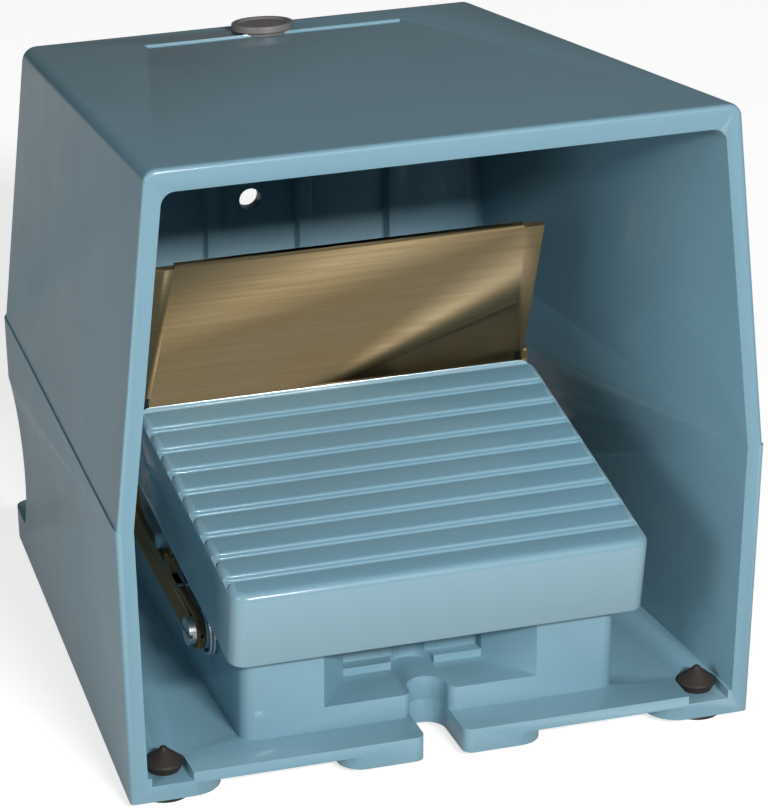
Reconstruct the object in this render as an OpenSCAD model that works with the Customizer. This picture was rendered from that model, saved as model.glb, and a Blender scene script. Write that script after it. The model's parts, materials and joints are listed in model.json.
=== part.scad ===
// Industrial foot switch: a ribbed pedal and a toe lever under a cast protective hood.
// Millimetres, +Z up, +Y from the foot's side to the rear. The origin is midway under the rubber feet.

/* [Hood] */
// Greatest width of the hood, at its front edge on the parting line
hood_w = 163.4; // [150:1:200]
// Depth of the hood from its front edge to its rear face
hood_d = 161; // [158:1:200]
// Height of the front edge above the hood's pads
hood_h = 160.7; // [140:1:200]
// Height of the roof's rear edge above the hood's pads
hood_rear_h = 138.2; // [120:1:180]
// Distance that the rear wall's foot stands in front of the roof's rear edge
rear_in = 0.5; // [0:0.5:3]
// Width of the front edge at the floor
hood_bottom_w = 159; // [148:1:198]
// Width of the front edge at the roof
hood_top_w = 146.2; // [130:1:190]
// Width of the rear wall at the parting line
hood_rear_w = 139; // [130:1:180]
// Height of the parting line at the front edge
parting_z = 72; // [50:1:100]
// Height of the parting line at the rear wall
parting_rear_z = 64; // [50:1:100]
// Step at the parting line, where the lower half stands proud of the upper
parting_step = 0.4; // [0.1:0.1:1]
// Thickness of the side and rear walls
hood_wall = 4.4; // [3:0.1:8]
// Thickness of the roof
roof_t = 5.5; // [3:0.1:9]
// Height of the floor's top face above the pads
floor_top = 6.4; // [5:0.1:12]
// Thickness of the floor
floor_t = 2.9; // [2:0.1:4.5]
// Radius of the hood's rear edges
hood_rear_r = 4; // [2:0.5:9]
// Radius of the roof's front corners
hood_corner_r = 3.5; // [2:0.5:8]
// Radius of the front edge's outer rim
hood_rim_r = 1.2; // [0.5:0.1:2]
// Radius of the round notch at the rear of each side wall
notch_r = 22.5; // [12:0.5:30]
// Height of the middle of that notch
notch_z = 24.7; // [20:0.5:40]
// Height of the upturned lip at the rear edge of the floor
lip_z = 9; // [8:0.5:14]

/* [Hood details] */
// Width of the open slot at the front of the floor and of the base
slot_w = 10; // [6:0.5:14]
// Depth of that slot from the hood's front edge
slot_depth = 19.5; // [14:0.5:24]
// Outer reach of the lugs beside the slot
lug_reach = 26; // [20:1:40]
// Radius of the rounded ends of the lugs
lug_r = 6; // [4:0.5:9]
// Reach of the corner pads from the middle of the hood
pad_inner_x = 55; // [52:1:62]
// Depth of the corner pads
pad_depth = 17; // [15:1:24]
// Height of the pockets in the corner pads
pocket_z = 4.2; // [3:0.1:6]
// Width of those pockets
pocket_w = 10.4; // [9:0.5:14]
// Diameter of the two rear fixing holes in the floor
fixing_hole_d = 6.5; // [4:0.5:9]
// Distance between the rear fixing holes
fixing_span = 114; // [108:1:130]
// Distance of the rear fixing holes from the front edge
fixing_y = 112; // [90:1:130]
// Diameter of the pole socket in the roof
socket_d = 13; // [8:0.5:14]
// Diameter of the boss around the pole socket
socket_boss_d = 22; // [19:1:26]
// Distance of the pole socket from the front edge
socket_y = 148.5; // [146:0.5:150]
// Length of the socket's boss below the roof's outer face
socket_boss_len = 32; // [20:1:36]
// Height of the round hole in the rear wall
rear_hole_z = 89.6; // [80:0.1:96]
// Offset of that hole from the middle
rear_hole_x = -1.5; // [-5:0.5:5]
// Diameter of that hole
rear_hole_d = 6; // [3:0.5:8]
// Length of the shallow groove across the roof
groove_len = 69.5; // [40:0.5:100]
// Offset of that groove from the middle
groove_x = 1.5; // [-5:0.5:5]
// Depth of that groove
groove_depth = 1.2; // [0.5:0.1:2.5]

/* [Feet] */
// Distance that the feet stand out below the hood's pads
foot_drop = 2; // [1:0.5:5]
// Diameter of the disc of each foot
foot_disc_d = 13; // [10:0.5:18]
// Diameter of the barbed head of each foot
foot_head_d = 9.8; // [8:0.2:12]
// Diameter of the neck of each foot
foot_neck_d = 6; // [4:0.5:8]
// Distance of the feet from the middle of the hood
foot_x = 69; // [60:0.5:72]
// Distance of the front feet from the front edge
foot_y = 8.3; // [7:0.1:12]
// Distance of the rear feet from the middle of the hood
foot_rear_x = 59; // [50:0.5:64]

/* [Base] */
// Width of the base housing
base_w = 96.6; // [90:0.2:110]
// Distance of the base's front face from the hood's front edge
base_y = 11; // [9:0.5:16]
// Distance of the base's rear face from the hood's front edge
base_rear_y = 152; // [148:0.5:153]
// Height of the deck under the pedal
deck_z = 40; // [38:0.5:42]
// Height of the chamber behind the toe lever, without its lid
chamber_z = 62; // [58:0.5:68]
// Distance of the chamber's front wall from the hood's front edge
chamber_y = 98; // [97:0.5:104]
// Thickness of the base's walls
base_wall = 3.6; // [3:0.1:4]
// Radius of the base's upright edges
base_edge_r = 4; // [2:0.5:6]
// Width of the recess in the base's front
recess_w = 55; // [40:1:58]
// Width of the recess at its back
recess_back_w = 36; // [30:1:40]
// Depth of the recess
recess_depth = 14.5; // [10:0.5:16]
// Height of the tongue below the recess
tongue_z = 12.7; // [11:0.1:15]
// Height of the small ledge at the back of the recess, above the tongue
ledge_h = 2; // [1:0.1:4]
// Radius of the alcove in the middle of the recess
alcove_r = 5.6; // [4:0.1:7]

/* [Pedal] */
// Width of the pedal
pedal_w = 106; // [102:0.2:120]
// Length of the pedal along its top face
pedal_len = 88.2; // [86:0.2:90]
// Distance of the pedal's front top edge from the hood's front edge
pedal_y = 0.2; // [0:0.1:2]
// Height of the pedal's front top edge
pedal_z = 50.6; // [50:0.1:54]
// Tilt of the pedal's top face
pedal_tilt = 9.3; // [8:0.1:11]
// Depth of the pedal's skirt
skirt_h = 20.9; // [16:0.1:22]
// Thickness of the pedal's skirt
skirt_t = 2.2; // [1.8:0.1:2.4]
// Thickness of the pedal's top
pedal_top_t = 4; // [3.5:0.1:5]
// Number of grooves across the pedal
groove_count = 9; // [4:1:12]
// Distance from one groove to the next
groove_pitch = 9.68; // [6:0.02:12]
// Width of a groove
groove_w = 2.2; // [1.5:0.1:4]
// Depth of a groove
groove_h = 1.5; // [1.2:0.1:2]
// Width of the narrow rib behind the last groove
end_rib_w = 1.3; // [1:0.1:4]
// Radius of the ribs' upright corners
rib_end_r = 2.4; // [1.5:0.1:3.5]
// Radius of the upright corners of the pedal
pedal_corner_r = 4; // [2:0.5:6]
// Radius of the pedal's top edge
pedal_edge_r = 2.2; // [1.6:0.1:3]
// Travel of the pedal, in degrees
pedal_travel = 6; // [3:0.5:6]

/* [Pedal bearing] */
// Distance of the pedal pin from the hood's front edge
pin_y = 78; // [76:0.5:80]
// Height of the pedal pin
pin_z = 48; // [47:0.5:50]
// Diameter of the pedal pin
pin_d = 8; // [5:0.5:8]
// Outer diameter of the bushes
bush_d = 11; // [9.5:0.5:13]
// Length of each bush
bush_len = 16; // [8:0.5:20]
// Diameter of the bearing bosses
bearing_boss_d = 17; // [15:0.5:20]
// Radial clearance of turning and sliding fits
run_clear = 0.05; // [0.02:0.01:0.1]

/* [Toe lever] */
// Thickness of the lever's sheet
lever_t = 1.6; // [1:0.1:2]
// Width of the lever's plate
plate_w = 102.4; // [98:0.2:106]
// Height of the plate's top edge
plate_top_z = 106.9; // [90:0.1:125]
// Lean of the plate towards the front
plate_lean = 20; // [10:1:24]
// Distance of the plate's front face from the hood's front edge, at the pedal's rear edge
plate_y = 88.4; // [88:0.1:91]
// Height of the plate's bottom edge
plate_bottom_z = 58; // [56:0.5:60]
// Height of the rounded lugs at the arms' upper ends
lug_top_z = 66.5; // [62:0.5:72]
// Distance of the lever's pivot from the hood's front edge
pivot_y = 37; // [34:0.5:40]
// Height of the lever's pivot
pivot_z = 25.4; // [23:0.1:26]
// Radius of the arms' round ends
arm_end_r = 4.8; // [4:0.1:5]
// Width of the arms behind the pedal
arm_w = 8.5; // [7:0.5:10]
// Diameter of the pivot screws
pivot_d = 5; // [4:0.5:6]
// Diameter of the pivot screws' heads
pivot_head_d = 7; // [6:0.5:7.5]
// Height of the bosses that carry the lever, above the base's sides
pivot_boss_h = 2.6; // [2:0.1:3]
// Travel of the toe lever, in degrees
lever_travel = 7; // [4:0.5:7]

/* [Chamber] */
// Thickness of the lid
lid_t = 3; // [2:0.5:4]
// Thickness of the gasket under the lid
gasket_t = 1.2; // [0.8:0.1:2]
// Diameter of the lid screws
lid_screw_d = 4; // [3:0.5:5]
// Distance of the lid screws from the chamber's outer edges
lid_screw_inset = 6; // [5:0.5:8]
// Diameter of the cable entries, at the crests of their thread
entry_d = 18.5; // [14:0.5:20]
// Distance between the two cable entries
entry_span = 46; // [40:1:54]
// Height of the cable entries
entry_z = 28; // [26:1:32]
// Depth of the cable entries
entry_len = 12; // [8:1:16]

/* [Contacts] */
// Width of one contact block
block_w = 27; // [20:1:29]
// Depth of one contact block
block_len = 38; // [30:1:40]
// Height of one contact block
block_h = 17; // [14:0.5:17]
// Distance between the middles of the two blocks
block_span = 32; // [30:1:36]
// Thickness of the plate that carries the blocks
contact_plate_t = 1.5; // [1:0.1:2]
// Distance of the actuator from the hood's front edge
actuator_y = 52; // [48:1:56]
// Diameter of the actuator plunger
actuator_d = 10; // [8:0.5:12]
// Diameter of the small plungers in the blocks
plunger_d = 6; // [4:0.5:7]
// Height of the small plungers above their blocks
plunger_rise = 3.2; // [3:0.1:3.6]
// Thickness of the bridge between the actuator and the small plungers
bridge_t = 2.5; // [2:0.1:3]
// Clearance between the pedal and what it presses on
press_gap = 0.4; // [0.3:0.1:0.8]

/* [Hidden] */
$fn = 48;
CAST = [0.53, 0.66, 0.72];
RUBBER = [0.1, 0.09, 0.08];
ZINC = [0.52, 0.43, 0.26];
STEEL = [0.7, 0.71, 0.73];
BRASS = [0.75, 0.6, 0.3];
ARC_STEPS = 5;
OVERCUT = 1;
RUN_FN = 96;

// the hood's floor and roof, and the slopes of its sides
taper = (hood_w - hood_rear_w) / 2 / hood_d;
upper_draft = (hood_w - hood_top_w) / 2 / (hood_h - parting_z);
lower_draft = (hood_w - hood_bottom_w) / 2 / parting_z;
floor_z = floor_top - floor_t;
roof_slope = atan((hood_h - hood_rear_h) / hood_d);
slot_r = slot_w / 2;
slot_end_y = slot_depth - slot_r;
mouth_r = 2.5;
lug_depth = 2 * lug_r;
pad_r = pad_depth / 2;
foot_rear_y = hood_d - rear_in - hood_wall - foot_y;
pilaster_x = 36;
pilaster_w = 21;
pilaster_t = 5;
rear_rib_x = 11;
rear_rib_w = 3.5;
rear_rib_t = 4;
rear_ribs_z = 72;
plug_head_r = 8.1;
plug_head_h = 1.7;
plug_stem = 9;
groove_y = socket_y - plug_head_r - 1.4;
groove_run = 5;
foot_clear = 0.05;

// the base housing and its fixings
base_half = base_w / 2;
recess_end_y = base_y + recess_depth;
base_floor_t = 3.1;
inside_z = floor_top + base_floor_t;
deck_t = 3;
front_inside_y = recess_end_y + 8.5;
chamber_inside_y = chamber_y + base_wall;
chamber_len = base_rear_y - chamber_y;
base_screw_d = 5;
base_screw_places = [[38, 20], [38, base_rear_y - 16]];
post_r = 5.5;
seat_boss_h = 8;

// the pedal, its bearing and what it presses on
pedal_half = pedal_w / 2;
skirt_inner = pedal_half - skirt_t;
under_drop = pedal_top_t / cos(pedal_tilt);
pedal_rear_y = pedal_y + pedal_len * cos(pedal_tilt);
pedal_rear_z = pedal_z + pedal_len * sin(pedal_tilt);
pressed_tilt = pedal_tilt + pedal_travel;
first_groove = pedal_len - end_rib_w - groove_w / 2 - (groove_count - 1) * groove_pitch;
groove_r = 0.6;
rib_r = 0.8;
front_skirt_t = 3;
rear_lip_h = 9;
bearing_inner_x = base_half - bush_len - 2;
bush_flange_t = 1.5;
spring_x = 36;
spring_y = 22;
spring_r = 4.8;
spring_wire = 1.4;
spring_turns = 6;
spring_seat_z = deck_z - 14;
buffer_y = 39;
buffer_d = 10;
rest_lug_w = 40;
rest_lug_t = 3;
rest_gap = 0.3;

// the toe lever: slope of its plate, places of its arms and stop
lean = tan(plate_lean);
plate_foot_y = plate_y + (pedal_rear_z - plate_bottom_z) * lean;
arm_x = plate_w / 2;
arm_back_y = plate_foot_y + arm_w;
relief = 4.5;
step_w = 5.5;
step_h = 0.8;
lug_r_arm = 3;
arm_elbow_r = 9;
arm_inner_r = 5;
arm_top_z = 33.8;
arm_low_z = 26.5;
stop_y = 70;
stop_d = 4;
stop_z = arm_edge_z(stop_y) + stop_d / 2 + rest_gap;
block_tab_y = 60;
tab_w = 6;
lever_wire = 0.9;
lever_coil_r = 6.3;
base_leg = 8;
arm_leg = 13;

// the contact chamber and its parts
lid_z = chamber_z + gasket_t;
screw_ys = [chamber_y + lid_screw_inset, base_rear_y - lid_screw_inset];
screw_x = base_half - lid_screw_inset;
screw_grip = 12;
block_x = block_span / 2;
block_y = actuator_y + 2;
plate_z = inside_z + contact_plate_t;
block_top_z = plate_z + block_h;
plunger_hole = 13;
plunger_len = 9;
bridge_z = block_top_z + plunger_rise;
dome_r = 8;
actuator_top_z = under_z(actuator_y) - (dome_r + press_gap) / cos(pedal_tilt) + dome_r;
guide_d = actuator_d + 6;
guide_flange_t = 1.5;
boot_h = 8.5;
block_screw_d = 3.4;
block_screw_y = 15.5;
terminal_x = 8;
terminal_y = 13;
terminal_d = 6;

// height of the roof's outer face at a distance from the front edge
function roof_z(y) = hood_h - y * tan(roof_slope);
// height of the parting line at a distance from the front edge
function line_z(y) = parting_z - (parting_z - parting_rear_z) * y / hood_d;
// half the hood's width above and below the parting line, on flat side walls
function upper_half(y, z) = hood_w / 2 - taper * y - upper_draft * (z - line_z(y));
function lower_half(y, z) = hood_w / 2 - taper * y - lower_draft * (line_z(y) - z);
// place of the rear wall's outer face at a height
function rear_y(z) = hood_d - rear_in * (1 - z / hood_rear_h);
// height of the pedal's underside at a distance from the front edge
function under_z(y) = pedal_z + (y - pedal_y) * tan(pedal_tilt) - under_drop;
// the same height with the pedal pressed down
function pressed_z(y) = pin_z + (under_z(pin_y) - pin_z) * cos(pedal_tilt) / cos(pressed_tilt)
    + (y - pin_y) * tan(pressed_tilt);
// height of the skirt's lower edge at a distance from the front edge
function skirt_z(y) = pedal_z + (y - pedal_y) * tan(pedal_tilt) - skirt_h / cos(pedal_tilt);
// the same height with the pedal pressed down
function pressed_skirt_z(y) = pin_z + (skirt_z(pin_y) - pin_z) * cos(pedal_tilt) / cos(pressed_tilt)
    + (y - pin_y) * tan(pressed_tilt);
// place of the toe plate's front face at a height
function plate_front_y(z) = plate_y + (pedal_rear_z - z) * lean;
// height of the arm's top edge at a distance from the front edge
function arm_edge_z(y) = pivot_z + arm_end_r
    + (arm_top_z - pivot_z - arm_end_r) * (y - pivot_y) / (plate_foot_y - arm_inner_r - pivot_y);
// points of an arc around a middle point, from one angle to another
function arc(x, y, r, from, to) = [for (i = [0:ARC_STEPS])
    let (a = from + (to - from) * i / ARC_STEPS) [x + r * cos(a), y + r * sin(a)]];

// moves a piece from the hood's front edge and pads to the middle under the feet
module placed() {
    translate([0, -hood_d / 2, foot_drop]) children();
}

// moves a piece onto the roof's slope, above the middle of the pole socket
module on_roof() {
    translate([0, socket_y, roof_z(socket_y)]) rotate([-roof_slope, 0, 0]) children();
}

// draws a piece on the right, and its mirror image on the left
module both_sides() {
    children();
    mirror([1, 0, 0]) children();
}

// a cylinder along X, from one end to the other
module rod_x(from, to, d, fn = 48) {
    translate([from, 0, 0]) rotate([0, 90, 0]) cylinder(d = d, h = to - from, $fn = fn);
}

// a cylinder along Y, from one end to the other
module rod_y(from, to, d, fn = 48) {
    translate([0, from, 0]) rotate([-90, 0, 0]) cylinder(d = d, h = to - from, $fn = fn);
}

// a box with round upright edges
module round_box(size, r) {
    linear_extrude(size[2]) {
        translate([r, 0]) square([size[0] - 2 * r, size[1]]);
        translate([0, r]) square([size[0], size[1] - 2 * r]);
        for (x = [r, size[0] - r], y = [r, size[1] - r]) translate([x, y]) circle(r);
    }
}

// the rounded corner of the hood's front edge, seen from the front
module rim_coin() {
    rotate([-90, 0, 0]) rotate_extrude($fn = 32) polygon(concat([[0, 0]],
        arc(hood_corner_r - hood_rim_r, hood_rim_r, hood_rim_r, 270, 360), [[hood_corner_r, 2], [0, 2]]));
}

// a short upright disc that carries the round edges of the hood's walls
module edge_disc(half, y, z, r) {
    translate([half - r, y, z]) cylinder(r = r, h = 0.1, $fn = 32);
}

// outer form above the parting line, where the walls draw in towards the roof
module upper_form() {
    low_z = parting_rear_z - 1;
    hull() both_sides() {
        translate([upper_half(0, hood_h) - hood_corner_r, 0, hood_h - hood_corner_r]) rim_coin();
        translate([upper_half(hood_d, hood_rear_h) - hood_rear_r, hood_d - hood_rear_r,
            hood_rear_h - hood_rear_r]) sphere(hood_rear_r, $fn = 32);
        edge_disc(upper_half(0, parting_z - 1) - parting_step, hood_rim_r, parting_z - 1, hood_rim_r);
        edge_disc(upper_half(hood_d, low_z) - parting_step, rear_y(low_z) - parting_step - hood_rear_r,
            low_z, hood_rear_r);
    }
}

// outer form below the parting line
module lower_form() {
    hull() both_sides() {
        edge_disc(lower_half(0, 0), hood_rim_r, 0, hood_rim_r);
        edge_disc(hood_w / 2, hood_rim_r, parting_z - 0.1, hood_rim_r);
        edge_disc(lower_half(hood_d, 0), rear_y(0) - hood_rear_r, 0, hood_rear_r);
        edge_disc(hood_rear_w / 2, rear_y(parting_rear_z) - hood_rear_r, parting_rear_z - 0.1, hood_rear_r);
    }
}

// the space under the hood, open to the front
module hood_space() {
    top_r = hood_rear_r - 1;
    roof_in_z = hood_h - roof_t;
    rear_top_z = hood_rear_h - roof_t;
    hull() both_sides() {
        translate([upper_half(0, roof_in_z) - hood_wall - hood_corner_r, -OVERCUT, roof_in_z - hood_corner_r])
            rotate([-90, 0, 0]) cylinder(r = hood_corner_r, h = 0.1, $fn = 32);
        translate([hood_w / 2 - hood_wall - 1, -OVERCUT, parting_z]) cube([1, 0.1, 0.1]);
        translate([lower_half(0, floor_top) - hood_wall - 1, -OVERCUT, floor_top]) cube([1, 0.1, 0.1]);
        translate([upper_half(hood_d, rear_top_z) - hood_wall - top_r, hood_d - hood_wall - top_r,
            rear_top_z - top_r]) sphere(top_r, $fn = 24);
        edge_disc(hood_rear_w / 2 - hood_wall, rear_y(parting_rear_z) - hood_wall - top_r,
            parting_rear_z, top_r);
        edge_disc(lower_half(hood_d, floor_top) - hood_wall, rear_y(0) - hood_wall - top_r, floor_top, top_r);
    }
}

// outline of a corner pad with a round inner end
module pad_outline(inner_x, y) {
    translate([inner_x + pad_r, y]) square([hood_w / 2 - inner_x - pad_r, pad_depth]);
    translate([inner_x + pad_r, y + pad_r]) circle(pad_r);
}

// outline of the lugs that stiffen the floor round the slot
module lug_outline() {
    square([lug_reach - lug_r, lug_depth]);
    translate([lug_reach - lug_r, lug_r]) circle(lug_r);
}

// outline of the open slot, with round corners at its mouth
module slot_outline(front_y) {
    translate([-slot_r, front_y - OVERCUT]) square([slot_w, slot_end_y - front_y + OVERCUT]);
    translate([0, slot_end_y]) circle(slot_r);
    both_sides() difference() {
        translate([0, front_y - OVERCUT]) square([slot_r + mouth_r, mouth_r + OVERCUT]);
        translate([slot_r + mouth_r, front_y + mouth_r]) circle(mouth_r);
        translate([slot_r + mouth_r, front_y - 2 * OVERCUT]) square([OVERCUT, OVERCUT]);
    }
}

// hollow under the floor, between the pads and the lugs
module underside_hollow() {
    inner = hood_bottom_w / 2 - hood_wall;
    rear_inner = hood_rear_w / 2 - hood_wall;
    end_y = rear_y(0) - hood_wall;
    translate([0, 0, -OVERCUT]) linear_extrude(floor_z + OVERCUT) difference() {
        polygon([[-inner, -OVERCUT], [inner, -OVERCUT], [rear_inner, end_y], [-rear_inner, end_y]]);
        both_sides() {
            pad_outline(pad_inner_x, 0);
            pad_outline(pad_inner_x + foot_rear_x - foot_x, foot_rear_y + foot_y - pad_depth);
            lug_outline();
        }
        translate([0, slot_end_y]) circle(slot_r + 5);
    }
}

// pockets round the heads of the feet, and the holes for their necks
module foot_seats() {
    translate([foot_x - pocket_w / 2, -OVERCUT, pocket_z]) cube([pocket_w, foot_y + OVERCUT, floor_top]);
    for (place = [[foot_x, foot_y], [foot_rear_x, foot_rear_y]]) translate([place[0], place[1], 0]) {
        translate([0, 0, pocket_z]) cylinder(d = pocket_w, h = floor_top);
        translate([0, 0, -OVERCUT]) cylinder(d = foot_neck_d + 2 * foot_clear, h = floor_top);
    }
}

// boss of the pole socket, kept inside the hood
module socket_boss() {
    intersection() {
        on_roof() translate([0, 0, -socket_boss_len]) cylinder(d = socket_boss_d, h = socket_boss_len - 1);
        translate([-socket_boss_d, 0, 0]) cube([2 * socket_boss_d, hood_d - hood_wall / 2, hood_h]);
    }
}

// upright ribs and broad corner pilasters inside the rear wall
module rear_ribs() {
    inner_y = hood_d - hood_wall;
    top_z = hood_rear_h - roof_t;
    both_sides() {
        translate([rear_rib_x, inner_y - rear_rib_t, rear_ribs_z])
            cube([rear_rib_w, rear_rib_t + 1, top_z - rear_ribs_z]);
        translate([pilaster_x, inner_y - pilaster_t, rear_ribs_z])
            cube([pilaster_w, pilaster_t + 1, top_z - rear_ribs_z]);
    }
}

module hood() {
    color(CAST) placed() difference() {
        union() {
            difference() {
                union() {
                    upper_form();
                    lower_form();
                }
                hood_space();
            }
            socket_boss();
            rear_ribs();
        }
        underside_hollow();
        both_sides() foot_seats();
        translate([0, 0, -OVERCUT]) linear_extrude(floor_top + 2 * OVERCUT) slot_outline(0);
        intersection() {
            translate([0, rear_y(notch_z) + 1, notch_z]) rod_x(-hood_w, hood_w, 2 * notch_r, RUN_FN);
            translate([-hood_w, 0, lip_z]) cube([2 * hood_w, 2 * hood_d, hood_h]);
        }
        on_roof() translate([0, 0, 4 - socket_boss_len]) cylinder(d = socket_d, h = socket_boss_len);
        translate([rear_hole_x, 0, rear_hole_z])
            rod_y(hood_d - hood_wall - OVERCUT, hood_d + OVERCUT, rear_hole_d);
        translate([groove_x, groove_y, roof_z(groove_y)]) rotate([-roof_slope, 0, 0])
            translate([-groove_len / 2, 0, -groove_depth]) cube([groove_len, groove_run, 2 * groove_depth]);
        both_sides() {
            translate([fixing_span / 2, fixing_y, 0]) cylinder(d = fixing_hole_d, h = floor_top + OVERCUT);
            for (place = base_screw_places) translate([place[0], place[1], 0])
                cylinder(d = base_screw_d + 0.5, h = floor_top + OVERCUT);
        }
    }
}

// round cap in the top of the pole socket, with a raised rim
module pole_socket_plug() {
    rim = 0.5;
    color([0.43, 0.41, 0.41]) placed() on_roof() {
        rotate_extrude() polygon(concat([[0, 0], [plug_head_r, 0]],
            arc(plug_head_r - rim, plug_head_h - rim, rim, 0, 90),
            [[plug_head_r - 1.6, plug_head_h], [plug_head_r - 2, plug_head_h - rim],
                [0, plug_head_h - rim]]));
        translate([0, 0, -plug_stem]) cylinder(d = socket_d - 2 * foot_clear, h = plug_stem);
    }
}

// push-in rubber foot: disc below the pad, neck, and barbed head above the floor
module foot(x, y) {
    head_r = foot_head_d / 2;
    neck_r = foot_neck_d / 2;
    disc_r = foot_disc_d / 2;
    color(RUBBER) placed() translate([x, y, 0]) rotate_extrude() polygon(concat(
        [[0, -foot_drop]], arc(disc_r - 0.6, 0.6 - foot_drop, 0.6, 270, 360), [[disc_r, 0], [neck_r, 0],
        [neck_r, pocket_z], [head_r - 1, pocket_z]], arc(head_r - 0.7, pocket_z + 2, 0.7, -60, 40),
        [[2.6, pocket_z + 4.2]], arc(0, pocket_z + 5, 1.2, 20, 90)));
}

module foot_front_left() { foot(-foot_x, foot_y); }
module foot_front_right() { foot(foot_x, foot_y); }
module foot_rear_left() { foot(-foot_rear_x, foot_rear_y); }
module foot_rear_right() { foot(foot_rear_x, foot_rear_y); }

// outer form of the base: a low front under the pedal and a tall chamber behind the toe lever
module base_form() {
    translate([-base_half, base_y, floor_top])
        round_box([base_w, base_rear_y - base_y, deck_z - floor_top], base_edge_r);
    translate([-base_half, chamber_y, floor_top])
        round_box([base_w, base_rear_y - chamber_y, chamber_z - floor_top], base_edge_r);
}

// hollow of the base, open at the top of the chamber
module base_hollow() {
    inner = base_half - base_wall;
    translate([-inner, front_inside_y, inside_z])
        cube([2 * inner, base_rear_y - base_wall - front_inside_y, deck_z - deck_t - inside_z]);
    translate([-inner, chamber_inside_y, inside_z])
        cube([2 * inner, base_rear_y - base_wall - chamber_inside_y, chamber_z]);
}

// recess in the base's front, with its ledge and the alcove above the slot
module recess() {
    front_half = recess_w / 2;
    back_half = recess_back_w / 2;
    translate([0, 0, tongue_z]) linear_extrude(deck_z)
        polygon([[-front_half, base_y - OVERCUT], [front_half, base_y - OVERCUT], [front_half, base_y],
            [back_half, recess_end_y], [-back_half, recess_end_y], [-front_half, base_y]]);
    translate([-back_half, recess_end_y - 1, tongue_z + ledge_h]) cube([recess_back_w, 4.5, deck_z]);
    translate([0, recess_end_y, tongue_z]) cylinder(r = alcove_r, h = deck_z);
}

// bosses on the deck that hold the bushes of the pedal pin
module bearing_bosses() {
    boss_r = bearing_boss_d / 2;
    both_sides() {
        translate([0, pin_y, pin_z]) rod_x(bearing_inner_x, base_half, bearing_boss_d);
        translate([bearing_inner_x, pin_y - boss_r, deck_z - deck_t])
            cube([base_half - bearing_inner_x, bearing_boss_d, pin_z - deck_z + deck_t]);
    }
}

// bosses in the base for its screws, the lid, the lever and the cable entries
module inner_bosses() {
    entry_boss_d = entry_d + 8;
    both_sides() {
        translate([0, pivot_y, pivot_z]) rod_x(base_half - 10, base_half + pivot_boss_h, 2 * arm_end_r);
        translate([0, stop_y, stop_z]) rod_x(base_half - base_wall, arm_x + lever_t, stop_d);
        for (y = screw_ys) translate([screw_x, y, floor_top]) cylinder(r = post_r, h = chamber_z - floor_top);
        translate([base_screw_places[1][0], base_screw_places[1][1], floor_top])
            cylinder(r = post_r, h = base_floor_t + seat_boss_h);
        translate([entry_span / 2, 0, entry_z]) rod_y(base_rear_y - entry_len, base_rear_y, entry_boss_d);
    }
    translate([0, base_screw_places[1][1], floor_top]) cylinder(r = post_r, h = base_floor_t + seat_boss_h);
}

module base_housing() {
    color(CAST) placed() difference() {
        union() {
            difference() {
                base_form();
                base_hollow();
            }
            bearing_bosses();
            inner_bosses();
        }
        recess();
        translate([0, 0, floor_top - OVERCUT]) linear_extrude(tongue_z) slot_outline(base_y);
        translate([0, actuator_y, deck_z - deck_t - OVERCUT])
            cylinder(d = guide_d + 2 * foot_clear, h = deck_t + 2 * OVERCUT);
        translate([0, base_screw_places[1][1], inside_z]) cylinder(d = 4 + 2 * foot_clear, h = 20);
        both_sides() {
            translate([spring_x, spring_y, spring_seat_z])
                cylinder(r = spring_r + spring_wire + 0.5, h = deck_z);
            translate([spring_x, buffer_y, deck_z - 2]) cylinder(d = 4 + 2 * foot_clear, h = 3);
            translate([0, pin_y, pin_z]) {
                rod_x(bearing_inner_x - OVERCUT, base_half + OVERCUT, pin_d + 2 * run_clear + 0.6);
                rod_x(base_half - bush_len, base_half + OVERCUT, bush_d + 2 * foot_clear);
            }
            translate([0, pivot_y, pivot_z])
                rod_x(base_half - 9, base_half + pivot_boss_h + OVERCUT, pivot_d + 2 * foot_clear);
            translate([0, pivot_y + base_leg, pivot_z - lever_coil_r])
                rod_x(base_half - 3, base_half + OVERCUT, lever_wire + 0.2, 24);
            for (place = base_screw_places) translate([place[0], place[1], floor_top - OVERCUT])
                cylinder(d = base_screw_d + 2 * foot_clear, h = 11 + OVERCUT);
            for (y = screw_ys) translate([screw_x, y, chamber_z - screw_grip])
                cylinder(d = lid_screw_d + 2 * foot_clear, h = screw_grip + OVERCUT);
            translate([entry_span / 2, 0, entry_z])
                rod_y(base_rear_y - entry_len - OVERCUT, base_rear_y + OVERCUT, entry_d, RUN_FN);
            for (y = [-block_screw_y, block_screw_y]) translate([block_x, block_y + y, inside_z - 2])
                cylinder(d = block_screw_d + 2 * foot_clear, h = 3);
        }
    }
}

// screw with a round head; the head's underside is at z = 0 and the shank points down
module screw(shank_d, len, head_d, head_h) {
    translate([0, 0, -len]) cylinder(d = shank_d, h = len);
    difference() {
        rotate_extrude() polygon(concat([[0, 0], [head_d / 2, 0]],
            arc(head_d / 2 - head_h / 2, head_h / 2, head_h / 2, 0, 90), [[0, head_h]]));
        translate([-head_d, -shank_d / 10, head_h / 2]) cube([2 * head_d, shank_d / 5, head_h]);
    }
}

module base_fixing_screws() {
    color(STEEL) placed() both_sides() for (place = base_screw_places)
        translate([place[0], place[1], floor_z]) rotate([180, 0, 0])
            screw(base_screw_d, floor_t + 10, 9, 2.6);
}

module contact_plate() {
    half = block_x + block_w / 2 + 2;
    color(STEEL) placed() difference() {
        translate([-half, block_y - block_len / 2, inside_z]) cube([2 * half, block_len, contact_plate_t]);
        both_sides() for (y = [-block_screw_y, block_screw_y])
            translate([block_x, block_y + y, inside_z - OVERCUT])
                cylinder(d = block_screw_d + 2 * foot_clear, h = contact_plate_t + 2 * OVERCUT);
    }
}

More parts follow.
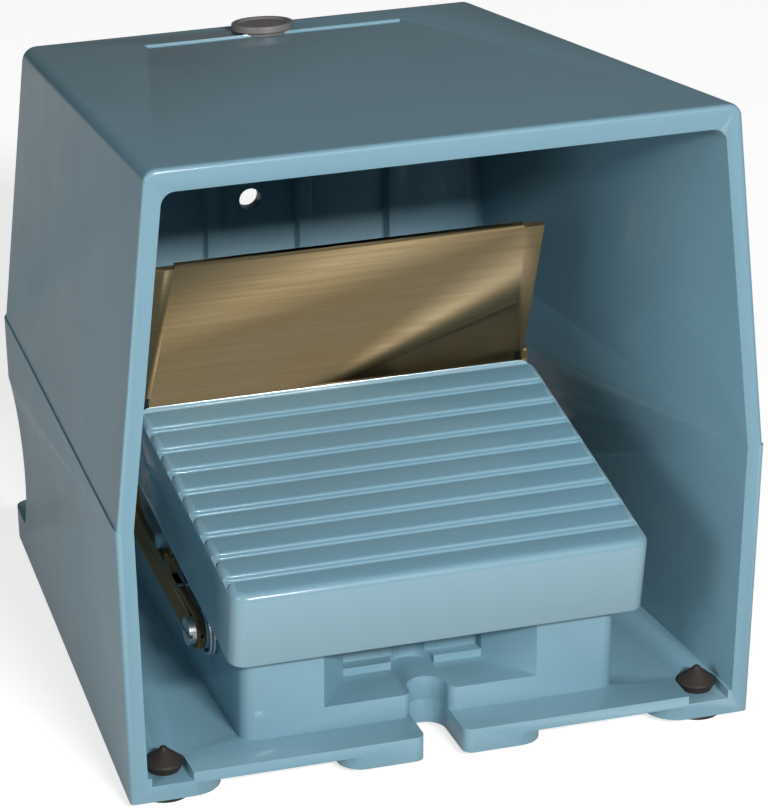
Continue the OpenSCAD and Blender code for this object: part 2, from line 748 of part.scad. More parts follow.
// contact block with its screw holes, terminal pockets and the bore of its plunger
module contact_block(side) {
    pocket_h = 3.5;
    wire_h = 4;
    color([0.12, 0.12, 0.13]) placed() difference() {
        translate([side * block_x - block_w / 2, block_y - block_len / 2, plate_z])
            cube([block_w, block_len, block_h]);
        translate([side * block_x, actuator_y, block_top_z - plunger_hole])
            cylinder(d = plunger_d + 2 * run_clear, h = plunger_hole + OVERCUT);
        for (y = [-block_screw_y, block_screw_y]) translate([side * block_x, block_y + y, plate_z - OVERCUT])
            cylinder(d = block_screw_d + 2 * foot_clear, h = block_h + 2 * OVERCUT);
        for (x = [-terminal_x, terminal_x], y = [-1, 1])
            translate([side * block_x + x, block_y + y * terminal_y, block_top_z]) {
                translate([0, 0, -pocket_h]) cylinder(d = terminal_d + 1, h = pocket_h + OVERCUT);
                translate([0, 0, -pocket_h - 6]) cylinder(d = 3 + 2 * foot_clear, h = 7);
                translate([-2.5, y * 3 - 4, -pocket_h - wire_h - 4]) cube([5, 8, wire_h]);
            }
    }
}

module contact_block_left() { contact_block(-1); }
module contact_block_right() { contact_block(1); }

module block_screws() {
    color(STEEL) placed() both_sides() for (y = [-block_screw_y, block_screw_y])
        translate([block_x, block_y + y, block_top_z])
            screw(block_screw_d, block_h + contact_plate_t + 1.5, 5.6, 2);
}

module terminal_screws() {
    color(BRASS) placed() both_sides() for (x = [-terminal_x, terminal_x], y = [-terminal_y, terminal_y])
        translate([block_x + x, block_y + y, block_top_z - 3.5]) screw(3, 5, terminal_d, 2);
}

module earth_screw() {
    color(BRASS) placed() translate([0, base_screw_places[1][1], inside_z + seat_boss_h]) screw(4, 7, 8, 2.4);
}

module contact_plunger(side) {
    color([0.85, 0.84, 0.8]) placed() translate([side * block_x, actuator_y, block_top_z - plunger_len])
        cylinder(d = plunger_d, h = plunger_len + plunger_rise);
}

module contact_plunger_left() { contact_plunger(-1); }
module contact_plunger_right() { contact_plunger(1); }

// cross plate that carries the actuator's stroke to both small plungers
module actuator_bridge() {
    half = block_x + plunger_d / 2 + 2;
    color(STEEL) placed() translate([-half, actuator_y - 6, bridge_z]) round_box([2 * half, 12, bridge_t], 3);
}

module actuator_plunger() {
    tip_angle = acos(actuator_d / 2 / dome_r);
    seat_z = bridge_z + bridge_t;
    color(STEEL) placed() translate([0, actuator_y, 0]) rotate_extrude() polygon(concat([[0, seat_z],
        [actuator_d / 2, seat_z]], arc(0, actuator_top_z - dome_r, dome_r, tip_angle, 90)));
}

module plunger_guide() {
    color(BRASS) placed() translate([0, actuator_y, 0]) difference() {
        union() {
            translate([0, 0, deck_z - deck_t - 2]) cylinder(d = guide_d, h = deck_t + 2);
            translate([0, 0, deck_z]) cylinder(d = guide_d + 5, h = guide_flange_t);
        }
        translate([0, 0, deck_z - deck_t - 3]) cylinder(d = actuator_d + 2 * run_clear, h = 20, $fn = RUN_FN);
    }
}

// rubber bellows that seals the actuator
module plunger_boot() {
    wall = 1;
    folds = 3;
    pitch = boot_h / folds;
    foot_z = deck_z + guide_flange_t;
    inner = actuator_d / 2 + 0.3;
    color(RUBBER) placed() translate([0, actuator_y, foot_z]) rotate_extrude() polygon(concat(
        [for (i = [0:folds - 1]) each [[inner + wall, i * pitch], [inner + 3.2, (i + 0.5) * pitch]]],
        [[inner + wall, boot_h], [inner, boot_h], [inner, 0]]));
}

module chamber_gasket() {
    inner = base_half - base_wall;
    color(RUBBER) placed() translate([0, 0, chamber_z]) difference() {
        translate([-base_half, chamber_y, 0]) round_box([base_w, chamber_len, gasket_t], base_edge_r);
        difference() {
            translate([-inner, chamber_inside_y, -OVERCUT])
                cube([2 * inner, chamber_len - 2 * base_wall, gasket_t + 2 * OVERCUT]);
            both_sides() for (y = screw_ys) translate([screw_x, y, -OVERCUT])
                cylinder(r = post_r, h = gasket_t + 2 * OVERCUT);
        }
        lid_screw_holes();
    }
}

module lid_screw_holes() {
    both_sides() for (y = screw_ys) translate([screw_x, y, -OVERCUT])
        cylinder(d = lid_screw_d + 2 * foot_clear, h = 20);
}

// lid of the chamber, with a raised panel and a spigot that locates it
module chamber_lid() {
    inner = base_half - base_wall - post_r - 6;
    color(CAST) placed() translate([0, 0, lid_z]) difference() {
        union() {
            translate([-base_half, chamber_y, 0]) round_box([base_w, chamber_len, lid_t], base_edge_r);
            translate([-inner, chamber_y + 5, lid_t]) round_box([2 * inner, chamber_len - 10, 1], 3);
            translate([-inner, chamber_inside_y + 0.5, -gasket_t - 3])
                cube([2 * inner, chamber_len - 2 * base_wall - 1, gasket_t + 3]);
        }
        lid_screw_holes();
    }
}

module lid_screws() {
    color(STEEL) placed() both_sides() for (y = screw_ys) translate([screw_x, y, lid_z + lid_t])
        screw(lid_screw_d, lid_t + gasket_t + 9, 7.5, 2.6);
}

// blanking plug of the right-hand cable entry
module entry_plug() {
    head_d = entry_d + 5.5;
    ring_t = 1.5;
    color([0.2, 0.21, 0.22]) placed() translate([entry_span / 2, 0, entry_z]) difference() {
        union() {
            rod_y(base_rear_y - 9, base_rear_y + ring_t, entry_d - 2 * foot_clear, RUN_FN);
            rod_y(base_rear_y + ring_t, base_rear_y + ring_t + 3, head_d);
        }
        translate([-head_d, base_rear_y + 3, -1.2]) cube([2 * head_d, 5, 2.4]);
        rod_y(base_rear_y - 10, base_rear_y - 1, entry_d - 5);
    }
}

module entry_plug_ring() {
    color(RUBBER) placed() translate([entry_span / 2, 0, entry_z]) difference() {
        rod_y(base_rear_y, base_rear_y + 1.5, entry_d + 4.5);
        rod_y(base_rear_y - OVERCUT, base_rear_y + 3, entry_d);
    }
}

// moves a piece into the pedal's tilted frame, from its front top edge
module on_pedal() {
    translate([0, pedal_y, pedal_z]) rotate([pedal_tilt, 0, 0]) children();
}

// outer form of the pedal, with round upright corners and a round top edge
module pedal_form() {
    hull() both_sides() for (y = [pedal_corner_r, pedal_len - pedal_corner_r])
        translate([pedal_half - pedal_corner_r, y, -skirt_h]) rotate_extrude($fn = 32) polygon(concat(
            [[0, 0], [pedal_corner_r - 0.6, 0], [pedal_corner_r, 0.6]],
            arc(pedal_corner_r - pedal_edge_r, skirt_h - pedal_edge_r, pedal_edge_r, 0, 90), [[0, skirt_h]]));
}

// section of one groove, round at its bottom and at the edges of the ribs beside it
function groove_points() = let (half = groove_w / 2) concat(
    [[-half - rib_r, OVERCUT]], arc(-half - rib_r, -rib_r, rib_r, 90, 0),
    arc(groove_r - half, groove_r - groove_h, groove_r, 180, 270),
    arc(half - groove_r, groove_r - groove_h, groove_r, 270, 360),
    arc(half + rib_r, -rib_r, rib_r, 180, 90), [[half + rib_r, OVERCUT]]);

// cutter that carries a groove's wall round the upright corner of the rib beside it
module rib_corner() {
    outer_r = 1.5 * rib_end_r;
    rotate_extrude(angle = 90, $fn = 24) polygon(concat(
        [[rib_end_r - rib_r, OVERCUT]], arc(rib_end_r - rib_r, -rib_r, rib_r, 90, 0),
        arc(rib_end_r + groove_r, groove_r - groove_h, groove_r, 180, 270),
        [[outer_r, -groove_h], [outer_r, OVERCUT]]));
}

// grooves across the pedal, with the ribs between them round at their ends
module pedal_grooves() {
    corner_y = groove_w / 2 + rib_end_r;
    for (i = [0:groove_count - 1]) translate([0, first_groove + i * groove_pitch, 0]) {
        translate([-pedal_half - OVERCUT, 0, 0]) rotate([90, 0, 90])
            linear_extrude(pedal_w + 2 * OVERCUT) polygon(groove_points());
        both_sides() {
            translate([pedal_half - rib_end_r, -corner_y, 0]) rib_corner();
            if (i < groove_count - 1)
                translate([pedal_half - rib_end_r, corner_y, 0]) mirror([0, 1, 0]) rib_corner();
        }
    }
}

module pedal() {
    color(CAST) placed() difference() {
        union() {
            on_pedal() difference() {
                pedal_form();
                pedal_grooves();
                translate([-skirt_inner, front_skirt_t, -skirt_h - OVERCUT])
                    cube([2 * skirt_inner, pedal_len - 2 * front_skirt_t, skirt_h + OVERCUT - pedal_top_t]);
                translate([-skirt_inner, pedal_len / 2, -skirt_h - OVERCUT])
                    cube([2 * skirt_inner, pedal_len, skirt_h + OVERCUT - rear_lip_h]);
            }
            translate([-rest_lug_w / 2, pin_y + 4, deck_z + rest_gap])
                cube([rest_lug_w, rest_lug_t, under_z(pin_y + 4) + 1.5 - deck_z - rest_gap]);
        }
        translate([-hood_w, pedal_rear_y, 0]) cube([2 * hood_w, hood_d, hood_h]);
        translate([0, pin_y, pin_z]) rod_x(-pedal_w, pedal_w, pin_d + 2 * foot_clear);
    }
}

module pedal_pin() {
    color(STEEL) placed() translate([0, pin_y, pin_z]) rod_x(-pedal_half, pedal_half, pin_d);
}

module pedal_bush() {
    color(BRASS) placed() translate([0, pin_y, pin_z]) difference() {
        union() {
            rod_x(base_half - bush_len, base_half, bush_d);
            rod_x(base_half, base_half + bush_flange_t, bush_d + 4);
        }
        rod_x(base_half - bush_len - OVERCUT, base_half + 5, pin_d + 2 * run_clear);
    }
}

module pedal_bush_left() { mirror([1, 0, 0]) pedal_bush(); }
module pedal_bush_right() { pedal_bush(); }

// round wire wound into a compression spring, from z = 0 upwards
module coil(r, wire, turns, height) {
    sides = 6;
    steps = 12;
    rings = turns * steps;
    points = [for (i = [0:rings], j = [0:sides - 1])
        let (a = 360 * i / steps, b = 360 * j / sides, reach = r + wire / 2 * cos(b))
        [reach * cos(a), reach * sin(a), wire / 2 + (height - wire) * i / rings + wire / 2 * sin(b)]];
    walls = [for (i = [0:rings - 1], j = [0:sides - 1]) let (k = (j + 1) % sides)
        [i * sides + j, i * sides + k, (i + 1) * sides + k, (i + 1) * sides + j]];
    polyhedron(points, concat(walls, [[for (j = [0:sides - 1]) sides - 1 - j]],
        [[for (j = [0:sides - 1]) rings * sides + j]]));
}

module pedal_spring(side) {
    color(STEEL) placed() translate([side * spring_x, spring_y, spring_seat_z])
        coil(spring_r, spring_wire, spring_turns, under_z(spring_y - spring_r) - spring_seat_z - 0.3);
}

module pedal_spring_left() { pedal_spring(-1); }
module pedal_spring_right() { pedal_spring(1); }

// rubber buffers on the deck that end the pedal's travel
module pedal_buffers() {
    top = pressed_z(buffer_y - buffer_d / 2) - rest_gap;
    color(RUBBER) placed() both_sides() translate([spring_x, buffer_y, 0]) {
        translate([0, 0, deck_z - 2]) cylinder(d = 4, h = 3);
        translate([0, 0, deck_z]) cylinder(d = buffer_d, h = top - deck_z);
    }
}

// outline of the toe lever's plate, up its slope, with the steps and reliefs of the folded sheet
module plate_outline() {
    rise = (plate_top_z - plate_bottom_z) / cos(plate_lean);
    relief_z = 4;
    difference() {
        translate([-arm_x - lever_t / 2, 0]) square([plate_w + lever_t, rise]);
        both_sides() {
            translate([arm_x, relief_z]) square([lever_t, rise]);
            translate([arm_x - relief / 2, relief_z]) square([relief, relief]);
            translate([arm_x - step_w, rise - step_h]) square([step_w + lever_t, step_h + OVERCUT]);
        }
    }
}

// outline of an arm, seen from the side: the lug, the elbow behind the pedal and the pivot end
module arm_outline() {
    lug_z = lug_top_z - lug_r_arm;
    lug_y = plate_front_y(lug_z) + lug_r_arm;
    polygon(concat(
        arc(lug_y, lug_z, lug_r_arm, 180, 0),
        [[arm_back_y, 52]],
        arc(arm_back_y - arm_elbow_r, arm_low_z + arm_elbow_r, arm_elbow_r, 0, -90),
        arc(pivot_y, pivot_z, arm_end_r, 270, 90),
        [[stop_y, arm_edge_z(stop_y)]],
        arc(plate_foot_y - arm_inner_r, arm_top_z + arm_inner_r, arm_inner_r, -90, 0),
        [[plate_foot_y, plate_bottom_z]]));
}

module toe_lever() {
    tab_foot_z = arm_edge_z(block_tab_y) - 2;
    tab_top_z = pressed_skirt_z(block_tab_y - tab_w / 2) - press_gap;
    color(ZINC) placed() difference() {
        union() {
            translate([0, plate_foot_y, plate_bottom_z]) rotate([plate_lean, 0, 0])
                rotate([90, 0, 0]) mirror([0, 0, 1]) linear_extrude(lever_t) plate_outline();
            both_sides() translate([arm_x, 0, 0]) rotate([90, 0, 90]) linear_extrude(lever_t) {
                arm_outline();
                translate([block_tab_y - tab_w / 2, tab_foot_z]) square([tab_w, tab_top_z - tab_foot_z]);
            }
        }
        both_sides() translate([0, pivot_y, pivot_z])
            rod_x(arm_x - OVERCUT, arm_x + lever_t + OVERCUT, pivot_d + 2 * run_clear, RUN_FN);
    }
}

// shoulder screw of the toe lever
module lever_screw() {
    head_x = arm_x + lever_t + 0.2;
    color(STEEL) placed() translate([0, pivot_y, pivot_z]) difference() {
        union() {
            rod_x(base_half - 8, head_x, pivot_d, RUN_FN);
            rod_x(head_x, head_x + 1.8, pivot_head_d);
        }
        translate([head_x + 1, -pivot_head_d, -0.5]) cube([2, 2 * pivot_head_d, 1]);
    }
}

module lever_screw_left() { mirror([1, 0, 0]) lever_screw(); }
module lever_screw_right() { lever_screw(); }

// round wire along a path that has no stretch along X
module wire_along(path, d) {
    sides = 6;
    last = len(path) - 1;
    points = [for (i = [0:last]) let (run = path[min(i + 1, last)] - path[max(i - 1, 0)],
        out = cross(run, [1, 0, 0]), u = out / norm(out), over = cross(u, run), v = over / norm(over))
        for (j = [0:sides - 1]) path[i] + d / 2 * (cos(360 * j / sides) * u + sin(360 * j / sides) * v)];
    walls = [for (i = [0:last - 1], j = [0:sides - 1]) let (k = (j + 1) % sides)
        [i * sides + j, i * sides + k, (i + 1) * sides + k, (i + 1) * sides + j]];
    polyhedron(points, concat(walls, [[for (j = [0:sides - 1]) sides - 1 - j]],
        [[for (j = [0:sides - 1]) last * sides + j]]));
}

// torsion springs round the pivot bosses, with one leg in the base and one over the arm
module lever_springs() {
    first_x = base_half + lever_wire / 2 + 0.15;
    steps = 30;
    turns = 1.5;
    last_x = first_x + turns * (lever_wire + 0.02);
    turn_points = [for (i = [0:steps]) let (a = 270 - 360 * turns * i / steps)
        [first_x + (last_x - first_x) * i / steps, lever_coil_r * cos(a), lever_coil_r * sin(a)]];
    color(STEEL) placed() both_sides() translate([0, pivot_y, pivot_z]) {
        wire_along(concat([[first_x, base_leg + 0.3, -lever_coil_r]], turn_points,
            [[last_x, arm_leg + 0.3, lever_coil_r]]), lever_wire);
        translate([0, arm_leg, lever_coil_r]) rod_x(last_x, arm_x + lever_t, lever_wire - 0.06, 24);
        translate([0, base_leg, -lever_coil_r]) rod_x(base_half - 2.5, first_x, lever_wire - 0.06, 24);
    }
}

hood();
pole_socket_plug();
foot_front_left();
foot_front_right();
foot_rear_left();
foot_rear_right();
base_housing();
base_fixing_screws();
contact_plate();
contact_block_left();
contact_block_right();
block_screws();
terminal_screws();
earth_screw();
contact_plunger_left();
contact_plunger_right();
actuator_bridge();
actuator_plunger();
plunger_guide();
plunger_boot();
chamber_gasket();
chamber_lid();
lid_screws();
entry_plug();
entry_plug_ring();
pedal();
pedal_pin();
pedal_bush_left();
pedal_bush_right();
pedal_spring_left();
pedal_spring_right();
pedal_buffers();
toe_lever();
lever_screw_left();
lever_screw_right();
lever_springs();
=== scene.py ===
import json
import math

import bmesh
import bpy
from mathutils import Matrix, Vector


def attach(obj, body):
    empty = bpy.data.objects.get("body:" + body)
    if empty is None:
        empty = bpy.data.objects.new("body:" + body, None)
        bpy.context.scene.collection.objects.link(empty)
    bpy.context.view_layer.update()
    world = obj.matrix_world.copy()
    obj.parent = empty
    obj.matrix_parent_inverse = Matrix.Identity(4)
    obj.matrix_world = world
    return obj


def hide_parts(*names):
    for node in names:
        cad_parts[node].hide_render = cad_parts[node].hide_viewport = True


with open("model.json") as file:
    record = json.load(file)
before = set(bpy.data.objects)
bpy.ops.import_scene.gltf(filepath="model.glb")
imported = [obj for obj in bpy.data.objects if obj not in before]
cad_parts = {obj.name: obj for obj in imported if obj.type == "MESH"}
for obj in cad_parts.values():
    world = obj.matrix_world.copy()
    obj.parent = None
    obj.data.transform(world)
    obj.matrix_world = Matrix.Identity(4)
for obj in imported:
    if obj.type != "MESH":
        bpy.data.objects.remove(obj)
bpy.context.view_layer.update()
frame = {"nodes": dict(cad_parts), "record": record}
scene = bpy.context.scene
scene.view_settings.view_transform = "Standard"
mm = 0.001


# camera and studio
cameraSizes = {
    "place": (-0.3228, -1.0065, 0.5171),
    "pitch": 23.25,  # degrees below the horizon
    "yaw": 18.34,  # degrees to the right of +Y
    "lens": 201.5,
    "nearest": 0.05,
    "farthest": 20,
}


def makeCamera(sizes):
    data = bpy.data.cameras.new("productCamera")
    data.lens = sizes["lens"]
    data.clip_start = sizes["nearest"]
    data.clip_end = sizes["farthest"]
    camera = bpy.data.objects.new("productCamera", data)
    camera.location = sizes["place"]
    camera.rotation_euler = (math.radians(90 - sizes["pitch"]), 0, -math.radians(sizes["yaw"]))
    scene.collection.objects.link(camera)
    scene.camera = camera


studio = {
    "key": {"azimuth": 4, "elevation": 28, "distance": 2.4, "size": (0.6, 0.18), "power": 57},
    "side": {"azimuth": -66, "elevation": 16, "distance": 2.2, "size": (0.9, 0.8), "power": 13},
    "rear": {"azimuth": 165, "elevation": 4, "distance": 2.4, "size": (1.4, 0.4), "power": 3},
    "aim": (0, 0, 0.075),
    "ambient": 0.03,
    "mirrored": 0.4,  # how bright polished surfaces see the open room
}
paperFloor = {
    "reach": 6,
    "tone": 0.5,
    "roughness": 0.9,
    "gloss": 0.1,
    "glow": 0.75,
    "shine": 0.25,  # share of the glow that polished surfaces see
}
clothScreen = {
    "depth": 0.8,
    "width": 3.0,
    "height": 2.2,
    "front": -0.9,
    "lift": 0.002,  # gap under the cloth
    "tone": 0.012,
}


def makeSoftbox(name, light):
    azimuth, elevation = math.radians(light["azimuth"]), math.radians(light["elevation"])
    reach = light["distance"] * math.cos(elevation)
    rise = light["distance"] * math.sin(elevation)
    data = bpy.data.lights.new(name, "AREA")
    data.shape = "RECTANGLE"
    data.size, data.size_y = light["size"]
    data.energy = light["power"]
    lamp = bpy.data.objects.new(name, data)
    aim = Vector(studio["aim"])
    lamp.location = aim + Vector((reach * math.sin(azimuth), -reach * math.cos(azimuth), rise))
    lamp.rotation_euler = (aim - lamp.location).to_track_quat("-Z", "Y").to_euler()
    scene.collection.objects.link(lamp)


# 1 for the camera, a share of it in reflections, and 0 for light that spreads
def seenByEye(tree, mirrored):
    path = tree.nodes.new("ShaderNodeLightPath")
    either = tree.nodes.new("ShaderNodeMath")
    tree.links.new(path.outputs["Is Glossy Ray"], either.inputs[0])
    tree.links.new(path.outputs["Is Transmission Ray"], either.inputs[1])
    level = tree.nodes.new("ShaderNodeMath")
    level.operation = "MULTIPLY"
    level.inputs[1].default_value = mirrored
    tree.links.new(either.outputs[0], level.inputs[0])
    total = tree.nodes.new("ShaderNodeMath")
    total.use_clamp = True
    tree.links.new(path.outputs["Is Camera Ray"], total.inputs[0])
    tree.links.new(level.outputs[0], total.inputs[1])
    return total.outputs[0]


def newFinish(name):
    finish = bpy.data.materials.new(name)
    finish.use_nodes = True
    tree = finish.node_tree
    return finish, tree, tree.nodes["Principled BSDF"]


def makeStage(name, corners, faces, finish):
    mesh = bpy.data.meshes.new(name)
    mesh.from_pydata(corners, [], faces)
    mesh.materials.append(finish)
    piece = bpy.data.objects.new(name, mesh)
    scene.collection.objects.link(piece)
    return piece


def makeWorld():
    world = bpy.data.worlds.new("studioWorld")
    world.use_nodes = True
    tree = world.node_tree
    back = tree.nodes["Background"]
    level = tree.nodes.new("ShaderNodeMapRange")
    level.inputs["To Min"].default_value = studio["ambient"]
    level.inputs["To Max"].default_value = 1
    tree.links.new(seenByEye(tree, studio["mirrored"]), level.inputs["Value"])
    back.inputs["Color"].default_value = (1, 1, 1, 1)
    tree.links.new(level.outputs["Result"], back.inputs["Strength"])
    scene.world = world


def makeFloor(sizes):
    paper, tree, shader = newFinish("palePaper")
    shader.inputs["Base Color"].default_value = (sizes["tone"],) * 3 + (1,)
    shader.inputs["Roughness"].default_value = sizes["roughness"]
    shader.inputs["Specular IOR Level"].default_value = sizes["gloss"]
    shader.inputs["Emission Color"].default_value = (1, 1, 1, 1)
    glow = tree.nodes.new("ShaderNodeMath")
    glow.operation = "MULTIPLY"
    glow.inputs[1].default_value = sizes["glow"]
    tree.links.new(seenByEye(tree, sizes["shine"]), glow.inputs[0])
    tree.links.new(glow.outputs[0], shader.inputs["Emission Strength"])
    reach = sizes["reach"]
    corners = [(-reach, -reach, 0), (reach, -reach, 0), (reach, reach, 0), (-reach, reach, 0)]
    makeStage("studioFloor", corners, [(0, 1, 2, 3)], paper)


# dark cloth behind and above, which only shows as a reflection
def makeScreen(sizes):
    cloth, tree, shader = newFinish("darkCloth")
    shader.inputs["Base Color"].default_value = (sizes["tone"],) * 3 + (1,)
    shader.inputs["Roughness"].default_value = 1
    shader.inputs["Specular IOR Level"].default_value = 0
    half = sizes["width"] / 2
    profile = [(sizes["depth"], sizes["lift"]), (sizes["depth"], sizes["height"]),
               (sizes["front"], sizes["height"])]
    corners = [(side, y, z) for y, z in profile for side in (-half, half)]
    screen = makeStage("darkScreen", corners, [(0, 1, 3, 2), (2, 3, 5, 4)], cloth)
    screen.visible_camera = screen.visible_diffuse = screen.visible_shadow = False
    screen.visible_transmission = False


makeCamera(cameraSizes)
makeWorld()
makeFloor(paperFloor)
makeScreen(clothScreen)
for name in ("key", "side", "rear"):
    makeSoftbox(name + "Softbox", studio[name])
print("studio ready")


# finishes
def noiseField(tree, scale, detail=2.0, stretch=None):
    place = tree.nodes.new("ShaderNodeTexCoord").outputs["Object"]
    if stretch:
        mapping = tree.nodes.new("ShaderNodeMapping")
        mapping.inputs["Scale"].default_value = stretch
        tree.links.new(place, mapping.inputs["Vector"])
        place = mapping.outputs["Vector"]
    noise = tree.nodes.new("ShaderNodeTexNoise")
    noise.inputs["Scale"].default_value = scale
    noise.inputs["Detail"].default_value = detail
    tree.links.new(place, noise.inputs["Vector"])
    return noise.outputs["Fac"]


def spread(tree, value, low, high, fromLow=0.3, fromHigh=0.7):
    field = tree.nodes.new("ShaderNodeMapRange")
    field.inputs["From Min"].default_value = fromLow
    field.inputs["From Max"].default_value = fromHigh
    field.inputs["To Min"].default_value = low
    field.inputs["To Max"].default_value = high
    tree.links.new(value, field.inputs["Value"])
    return field.outputs["Result"]


def blendColours(tree, share, first, second):
    mix = tree.nodes.new("ShaderNodeMix")
    mix.data_type = "RGBA"
    tree.links.new(share, mix.inputs[0])
    for socket, colour in ((mix.inputs[6], first), (mix.inputs[7], second)):
        if isinstance(colour, tuple):
            socket.default_value = (*colour, 1)
        else:
            tree.links.new(colour, socket)
    return mix.outputs[2]


def addBump(tree, shader, *layers):
    last = None
    for height, strength, distance in layers:
        bump = tree.nodes.new("ShaderNodeBump")
        bump.inputs["Strength"].default_value = strength
        bump.inputs["Distance"].default_value = distance
        tree.links.new(height, bump.inputs["Height"])
        if last:
            tree.links.new(last, bump.inputs["Normal"])
        last = bump.outputs["Normal"]
    tree.links.new(last, shader.inputs["Normal"])


# a bump is its pattern's scale, its strength and its height
paintLooks = {
    "colour": (0.172, 0.325, 0.405),
    "faded": (0.182, 0.335, 0.413),
    "worn": (0.33, 0.47, 0.53),
    "wear": 0.5,
    "wornFrom": (0.52, 0.6),  # sharpness of an edge at which the wear starts and is full
    "cloudScale": 22,
    "roughness": (0.42, 0.5),
    "roughnessScale": 60,
    "gloss": 0.3,
    "lacquer": 0.5,
    "lacquerRoughness": 0.1,
    "grain": (420, 0.06, 0.3 * mm),
    "waves": (70, 0.02, 1 * mm),
}


def castPaint(name, looks):
    finish, tree, shader = newFinish(name)
    cloud = spread(tree, noiseField(tree, looks["cloudScale"], 3), 0, 1)
    colour = blendColours(tree, cloud, looks["colour"], looks["faded"])
    geometry = tree.nodes.new("ShaderNodeNewGeometry")
    edge = spread(tree, geometry.outputs["Pointiness"], 0, looks["wear"], *looks["wornFrom"])
    colour = blendColours(tree, edge, colour, looks["worn"])
    tree.links.new(colour, shader.inputs["Base Color"])
    rough = spread(tree, noiseField(tree, looks["roughnessScale"], 2), *looks["roughness"])
    tree.links.new(rough, shader.inputs["Roughness"])
    shader.inputs["Specular IOR Level"].default_value = looks["gloss"]
    shader.inputs["Coat Weight"].default_value = looks["lacquer"]
    shader.inputs["Coat Roughness"].default_value = looks["lacquerRoughness"]
    grainScale, grainStrength, grainHeight = looks["grain"]
    waveScale, waveStrength, waveHeight = looks["waves"]
    addBump(tree, shader, (noiseField(tree, grainScale, 2), grainStrength, grainHeight),
            (noiseField(tree, waveScale, 1), waveStrength, waveHeight))
    return finish


zincLooks = {
    "light": (0.27, 0.2, 0.1),
    "dark": (0.22, 0.145, 0.06),
    "tint": (0.26, 0.21, 0.13),
    "darkShare": 0.25,
    "roughness": (0.62, 0.7),
    "grainScale": 900,
    "grainStretch": (0.03, 1, 1),
    "cloudScale": 28,
    "grain": (0.05, 0.1 * mm),
    "waves": (40, 0.03, 0.8 * mm),
}


def yellowZinc(name, looks):
    finish, tree, shader = newFinish(name)
    field = noiseField(tree, looks["grainScale"], 2, looks["grainStretch"])
    grain = spread(tree, field, 0, 1)
    cloud = spread(tree, noiseField(tree, looks["cloudScale"], 3), 0, 1)
    colour = blendColours(tree, cloud, looks["light"], looks["tint"])
    share = spread(tree, grain, 0, looks["darkShare"], 0, 1)
    colour = blendColours(tree, share, colour, looks["dark"])
    tree.links.new(colour, shader.inputs["Base Color"])
    tree.links.new(spread(tree, grain, *looks["roughness"], 0, 1), shader.inputs["Roughness"])
    shader.inputs["Metallic"].default_value = 1
    waveScale, waveStrength, waveHeight = looks["waves"]
    addBump(tree, shader, (grain, *looks["grain"]),
            (noiseField(tree, waveScale, 1), waveStrength, waveHeight))
    return finish


metalGrain = {"scale": 300, "strength": 0.08, "height": 0.2 * mm}


def plainMetal(name, light, dark, low, high):
    finish, tree, shader = newFinish(name)
    scale = metalGrain["scale"]
    cloud = spread(tree, noiseField(tree, scale, 3), 0, 1)
    tree.links.new(blendColours(tree, cloud, light, dark), shader.inputs["Base Color"])
    rough = spread(tree, noiseField(tree, scale * 2, 2), low, high)
    tree.links.new(rough, shader.inputs["Roughness"])
    shader.inputs["Metallic"].default_value = 1
    fine = noiseField(tree, scale * 3, 2)
    addBump(tree, shader, (fine, metalGrain["strength"], metalGrain["height"]))
    return finish


mouldGrain = {"scale": 400, "strength": 0.1, "height": 0.3 * mm}


def mouldedPart(name, light, dark, low, high, gloss=0.4):
    finish, tree, shader = newFinish(name)
    scale = mouldGrain["scale"]
    cloud = spread(tree, noiseField(tree, scale / 6, 3), 0, 1)
    tree.links.new(blendColours(tree, cloud, light, dark), shader.inputs["Base Color"])
    rough = spread(tree, noiseField(tree, scale / 3, 2), low, high)
    tree.links.new(rough, shader.inputs["Roughness"])
    shader.inputs["Specular IOR Level"].default_value = gloss
    fine = noiseField(tree, scale * 2, 2)
    addBump(tree, shader, (fine, mouldGrain["strength"], mouldGrain["height"]))
    return finish


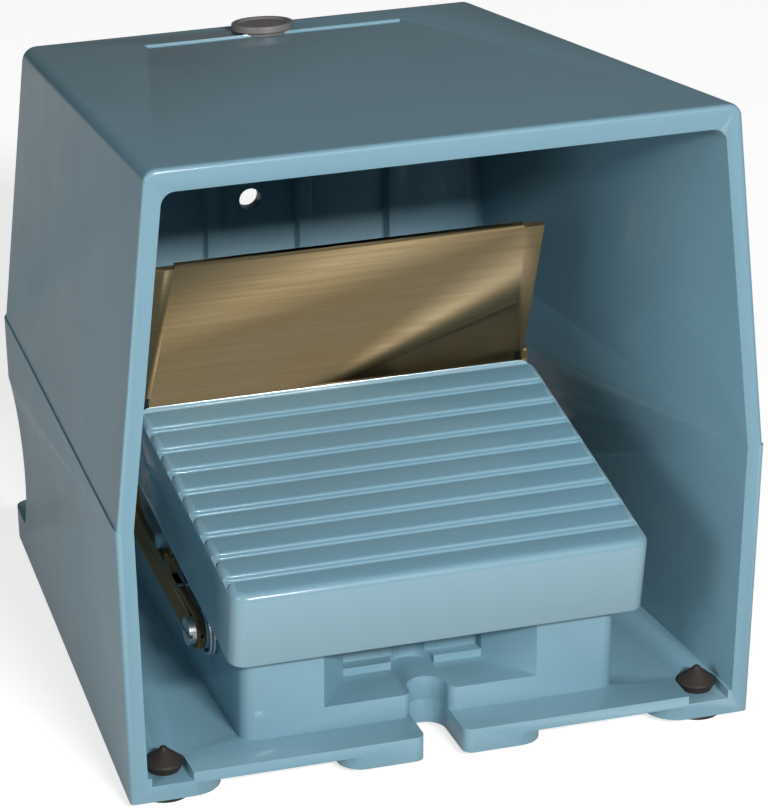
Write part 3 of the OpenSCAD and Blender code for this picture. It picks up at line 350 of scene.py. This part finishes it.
# plain finishes: light and dark tone, least and greatest roughness, and gloss where given
metals = {
    "steel": ("brightZinc", (0.72, 0.73, 0.75), (0.55, 0.56, 0.58), 0.25, 0.4),
    "brass": ("plainBrass", (0.78, 0.6, 0.28), (0.62, 0.45, 0.2), 0.28, 0.42),
}
mouldings = {
    "black_rubber": ("blackRubber", (0.02, 0.017, 0.015), (0.035, 0.027, 0.022), 0.5, 0.68, 0.35),
    "black_plastic": ("blackPlastic", (0.025, 0.026, 0.028), (0.036, 0.037, 0.04), 0.35, 0.5),
    "white_plastic": ("whitePlastic", (0.68, 0.66, 0.6), (0.6, 0.58, 0.52), 0.3, 0.42),
    "grey_cap": ("greyCap", (0.16, 0.15, 0.15), (0.2, 0.185, 0.18), 0.3, 0.45),
}
finishes = {
    "cast_paint": castPaint("castPaint", paintLooks),
    "yellow_zinc": yellowZinc("yellowZinc", zincLooks),
    **{slot: plainMetal(*looks) for slot, looks in metals.items()},
    **{slot: mouldedPart(*looks) for slot, looks in mouldings.items()},
}

slotOf = {row["node"]: row["material_slot"] for row in frame["record"]["subparts"]}
for nodeName, node in frame["nodes"].items():
    node.data.materials.clear()
    node.data.materials.append(finishes[slotOf[nodeName]])
print("finishes ready")


# pieces that follow a node of the frame, with its edges rounded
edgeSizes = {
    "merge": 0.002 * mm,
    "flat": 1.2,  # degrees under which faces join
    "sharp": 28,  # degrees over which an edge is rounded
    "segments": 2,
}
castEdges = {
    "hood": {"piece": "hoodShell", "body": "housing", "width": 0.45 * mm},
    "base_housing": {"piece": "baseCasting", "body": "housing", "width": 0.6 * mm},
    "pedal": {"piece": "pedalCasting", "body": "pedal", "width": 0.5 * mm},
    "toe_lever": {"piece": "toePlate", "body": "toe_lever", "width": 0.15 * mm},
}


def softenedCopy(nodeName, sizes):
    mesh = frame["nodes"][nodeName].data.copy()
    mesh.name = sizes["piece"]
    form = bmesh.new()
    form.from_mesh(mesh)
    bmesh.ops.remove_doubles(form, verts=form.verts, dist=edgeSizes["merge"])
    bmesh.ops.dissolve_limit(form, angle_limit=math.radians(edgeSizes["flat"]),
                             verts=form.verts, edges=form.edges)
    form.to_mesh(mesh)
    form.free()
    piece = bpy.data.objects.new(sizes["piece"], mesh)
    scene.collection.objects.link(piece)
    for polygon in mesh.polygons:
        polygon.use_smooth = True
    bevel = piece.modifiers.new("edges", "BEVEL")
    bevel.width = sizes["width"]
    bevel.segments = edgeSizes["segments"]
    bevel.limit_method = "ANGLE"
    bevel.angle_limit = math.radians(edgeSizes["sharp"])
    bevel.use_clamp_overlap = True
    bevel.harden_normals = True
    mesh.materials.clear()
    mesh.materials.append(finishes[slotOf[nodeName]])
    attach(piece, sizes["body"])
    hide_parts(nodeName)


for nodeName, sizes in castEdges.items():
    softenedCopy(nodeName, sizes)
print("castings ready")
